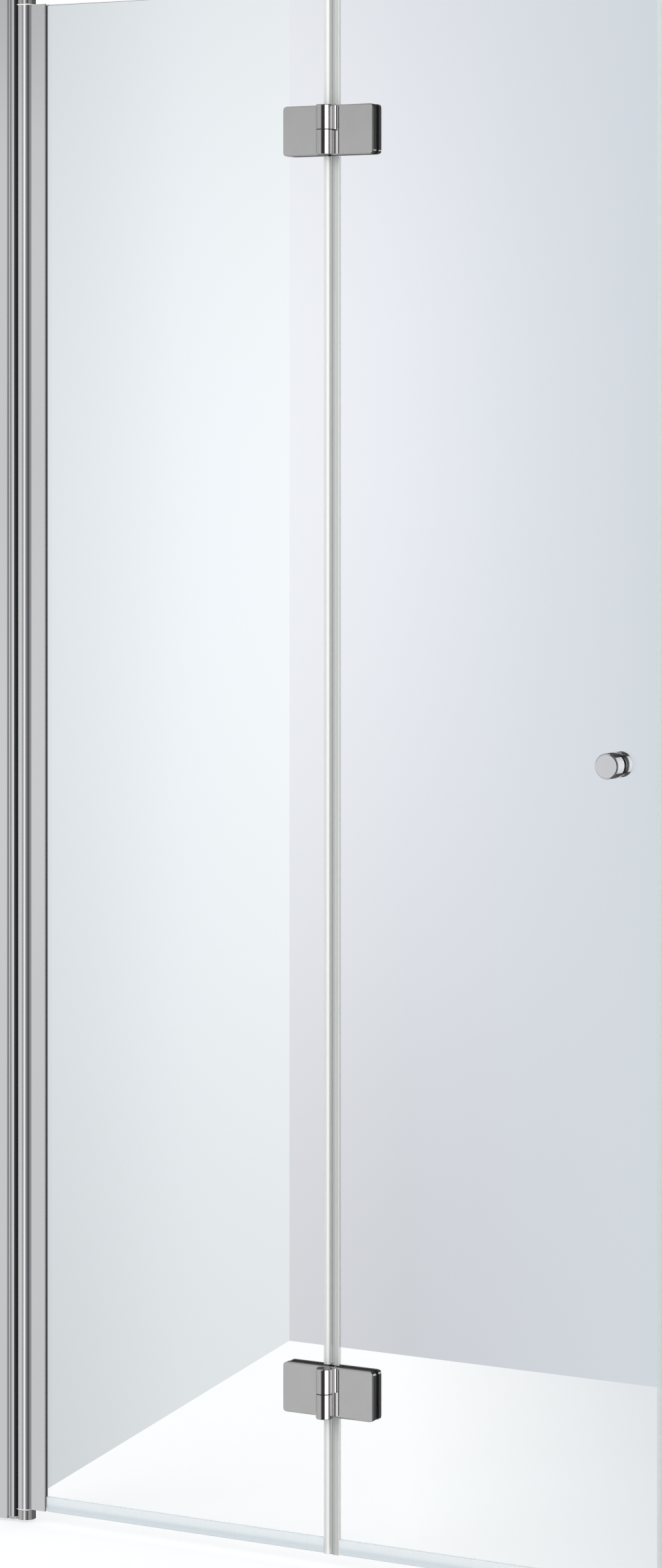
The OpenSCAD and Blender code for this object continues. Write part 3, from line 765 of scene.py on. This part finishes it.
def studio_walls(strength, ambient):
    """The studio as the metal mirrors it: dark and pale walls round the door.

    To the eye it is plain white, and to matt faces it is as bright as ambient.
    """
    world = bpy.data.worlds.new("studio")
    bpy.context.scene.world = world
    tree = Tree(world)
    x, y, z = tree.parts(tree.add("ShaderNodeTexCoord", out="Generated"))
    towards = math.sin(VIEW_TURN) * x - math.cos(VIEW_TURN) * y
    right = math.cos(VIEW_TURN) * x + math.sin(VIEW_TURN) * y
    turn = right.angle_to(towards) / (2 * math.pi) + 0.5
    wall = tree.ramp([(degrees / 360.0 + 0.5, tone) for degrees, tone in WALL_TONES], turn)
    height = tree.ramp(HEIGHT_TONES, 0.5 + 0.5 * z)
    mirrored = tree.add(
        "ShaderNodeBackground",
        sockets={"Color": tree.product(wall, height), "Strength": strength},
    )
    eye = tree.add("ShaderNodeLightPath", out="Is Camera Ray")
    passed = tree.add("ShaderNodeLightPath", out="Is Transmission Ray")
    bright = ambient + (1.0 - ambient) * eye.most(passed)
    plain = tree.add("ShaderNodeBackground", sockets={"Color": WHITE, "Strength": bright})
    tree.add("ShaderNodeOutputWorld", sockets={"Surface": tree.mixed(tree.mirrored(), plain, mirrored)})


def photo_camera():
    """The camera at the photograph's place, level, with its shift set by the horizon's row."""
    data = bpy.data.cameras.new("photo_camera")
    data.sensor_fit = "VERTICAL"
    data.sensor_width = SENSOR
    data.sensor_height = SENSOR
    data.lens = FOCAL_PIXELS * SENSOR / FRAME_HEIGHT
    data.shift_y = (HORIZON_ROW - FRAME_HEIGHT / 2) / FRAME_HEIGHT
    data.clip_start = 0.1
    data.clip_end = 100.0
    camera = linked("photo_camera", data)
    camera.location = CAMERA_PLACE
    camera.rotation_euler = (math.radians(90), 0.0, VIEW_TURN)
    bpy.context.scene.camera = camera


# ---------------------------------------------------------------- operators

class DOOR_OT_profiles(bpy.types.Operator):
    """Finish the wall profile, the carrier and the pivot profile"""

    bl_idname = "door.profiles"
    bl_label = "Profiles"

    def execute(self, context):
        looks = context.scene.door_finishes
        # The spans paint the profiles' sheen along their height, and painted shade on the carrier's slide
        # face and in the tube's hollow.
        for node, name, colour, spans in (
            ("wall_profile", "polished_profile", looks.profile_colour, [SHEEN_ALONG_PROFILES]),
            ("pivot_profile", "polished_tube", looks.profile_colour, [SHEEN_ALONG_PROFILES, TUBE_HOLLOW_SHADE]),
            ("pivot_carrier", "polished_carrier", looks.carrier_colour, [SLIDE_FACE_SHADE]),
        ):
            dress(drawn_metal(name, colour, looks.profile_gloss, spans), [node])
        return {"FINISHED"}


class DOOR_OT_chrome(bpy.types.Operator):
    """Finish the hinges, the knobs, the pivot blocks and the profile's cap"""

    bl_idname = "door.chrome"
    bl_label = "Chrome fittings"

    def execute(self, context):
        looks = context.scene.door_finishes
        dress(plated_metal("chrome_hardware", looks.chrome_colour, looks.chrome_gloss), CHROME)
        dress(plated_metal("chrome_knobs", looks.knob_colour, looks.chrome_gloss), KNOBS)
        return {"FINISHED"}


class DOOR_OT_steel(bpy.types.Operator):
    """Finish the pins and screws"""

    bl_idname = "door.steel"
    bl_label = "Pins and screws"

    def execute(self, context):
        looks = context.scene.door_finishes
        dress(turned_steel("stainless_steel", looks.steel_colour, looks.steel_gloss), STEEL)
        return {"FINISHED"}


class DOOR_OT_black_seals(bpy.types.Operator):
    """Finish the black lip seals, gaskets and washers"""

    bl_idname = "door.black_seals"
    bl_label = "Black seals"

    def execute(self, context):
        dress(soft_rubber("black_seal", context.scene.door_finishes.rubber_colour), RUBBER)
        return {"FINISHED"}


class DOOR_OT_bearings(bpy.types.Operator):
    """Finish the pivot bushes in the ends of the leaf's tube"""

    bl_idname = "door.bearings"
    bl_label = "Bearings"

    def execute(self, context):
        dress(bearing_plastic("bearing_plastic", context.scene.door_finishes.plastic_colour), PLASTIC)
        return {"FINISHED"}


class DOOR_OT_clear_seals(bpy.types.Operator):
    """Finish the clear seals on the glass edges"""

    bl_idname = "door.clear_seals"
    bl_label = "Clear seals"

    def execute(self, context):
        looks = context.scene.door_finishes
        low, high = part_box("drip_seal_1")
        spans = [(low[UP], high[UP], DRIP_STOPS, UP), DRIP_JAWS]
        dress(clear_vinyl("clear_seal", looks.vinyl_colour, looks.vinyl_clearness, spans), VINYL)
        dress(clear_vinyl("clear_free_edge", looks.free_colour, looks.free_clearness), ["free_edge_seal"])
        # The centre seals get their painted highlights and shade across their width.
        for node, stops in CENTRE_SEAL_SHADING.items():
            low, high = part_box(node)
            spans = [(low[ACROSS], high[ACROSS], stops, ACROSS)]
            dress(clear_vinyl("clear_" + node, looks.nose_colour, looks.vinyl_clearness, spans), [node])
        return {"FINISHED"}


class DOOR_OT_glass(bpy.types.Operator):
    """Finish the two glass leaves"""

    bl_idname = "door.glass"
    bl_label = "Glass leaves"

    def execute(self, context):
        looks = context.scene.door_finishes
        for node in ("glass_1", "glass_2"):
            dress(leaf_glass("safety_" + node, node, looks.glass_colour, looks.edge_colour), [node])
        return {"FINISHED"}


class DOOR_OT_stage(bpy.types.Operator):
    """Set the pale floor, the pale screens, the lamps and the camera"""

    bl_idname = "door.stage"
    bl_label = "Studio and camera"

    def execute(self, context):
        studio = context.scene.door_studio
        ground = CAD_BOX[0][UP] - studio.floor_drop
        reach = studio.floor_reach
        corners = [(-reach, -reach), (reach, -reach), (reach, reach), (-reach, reach)]
        floor = sheet_object("studio_floor", [(*corner, ground) for corner in corners], floor_finish())
        floor.visible_glossy = False
        side_finish = screen_finish(
            "side_screen", THROUGH, SCREEN_NEAR[THROUGH], SCREEN_CORNER[THROUGH],
            SIDE_STOPS, SIDE_HEIGHTS,
        )
        screen("side_screen", SCREEN_NEAR, SCREEN_CORNER, ground, SIDE_TOPS, side_finish)
        back_finish = screen_finish(
            "back_screen", ACROSS, SCREEN_CORNER[ACROSS], SCREEN_FAR[ACROSS],
            BACK_STOPS, BACK_HEIGHTS, BACK_FADE,
        )
        screen("back_screen", SCREEN_CORNER, SCREEN_FAR, ground, (SCREEN_TOP, SCREEN_TOP), back_finish)
        reflector(
            "tube_card", foot_a=(0.2287, -0.236), foot_b=(-0.127, -1.22), low=-0.7, high=2.3,
            stops=TUBE_CARD_STOPS, strength=1.3,
        )
        for which, middle in HINGE_MIDDLES.items():
            hinge_light(which + "_hinge_light", middle, studio.hinge_power)
        reflector(
            "knob_card", foot_a=(1.0, 1.0), foot_b=(1.75, 1.0), low=0.3, high=1.56,
            stops=KNOB_CARD_STOPS, strength=1.05,
        )
        for name, place, target, side, power in (
            ("key_lamp", (-0.9, -3.2, 3.1), (0.5, 0.0, 0.9), 2.4, studio.key_power),
            ("fill_lamp", (3.4, -1.0, 2.2), (0.5, 0.0, 0.8), 1.8, studio.fill_power),
            ("back_lamp", (1.2, 3.0, 3.2), (0.4, 0.0, 0.6), 2.0, studio.fill_power),
        ):
            lamp(name, place, target, side, power)
        studio_walls(studio.sky_strength, studio.ambient)
        photo_camera()
        context.scene.view_settings.view_transform = "Standard"
        context.scene.view_settings.look = "None"
        return {"FINISHED"}


# ---------------------------------------------------------------- the add-on

STEPS = (
    DOOR_OT_profiles,
    DOOR_OT_chrome,
    DOOR_OT_steel,
    DOOR_OT_black_seals,
    DOOR_OT_bearings,
    DOOR_OT_clear_seals,
    DOOR_OT_glass,
    DOOR_OT_stage,
)


class DOOR_PT_panel(bpy.types.Panel):
    """Steps that finish the door, in their order"""

    bl_label = "Shower door"
    bl_idname = "DOOR_PT_panel"
    bl_space_type = "VIEW_3D"
    bl_region_type = "UI"
    bl_category = "Shower door"

    def draw(self, context):
        for step in STEPS:
            self.layout.operator(step.bl_idname)
        for settings in (context.scene.door_finishes, context.scene.door_studio):
            box = self.layout.box()
            for name in settings.bl_rna.properties.keys():
                if name not in ("rna_type", "name"):
                    box.prop(settings, name)


CLASSES = (DoorFinishes, StudioSettings, *STEPS, DOOR_PT_panel)


def register():
    for item in CLASSES:
        bpy.utils.register_class(item)
    bpy.types.Scene.door_finishes = bpy.props.PointerProperty(type=DoorFinishes)
    bpy.types.Scene.door_studio = bpy.props.PointerProperty(type=StudioSettings)


def unregister():
    del bpy.types.Scene.door_studio
    del bpy.types.Scene.door_finishes
    for item in reversed(CLASSES):
        bpy.utils.unregister_class(item)


def main():
    register()
    for step in STEPS:
        group, name = step.bl_idname.split(".")
        getattr(getattr(bpy.ops, group), name)()


if __name__ == "__main__":
    main()
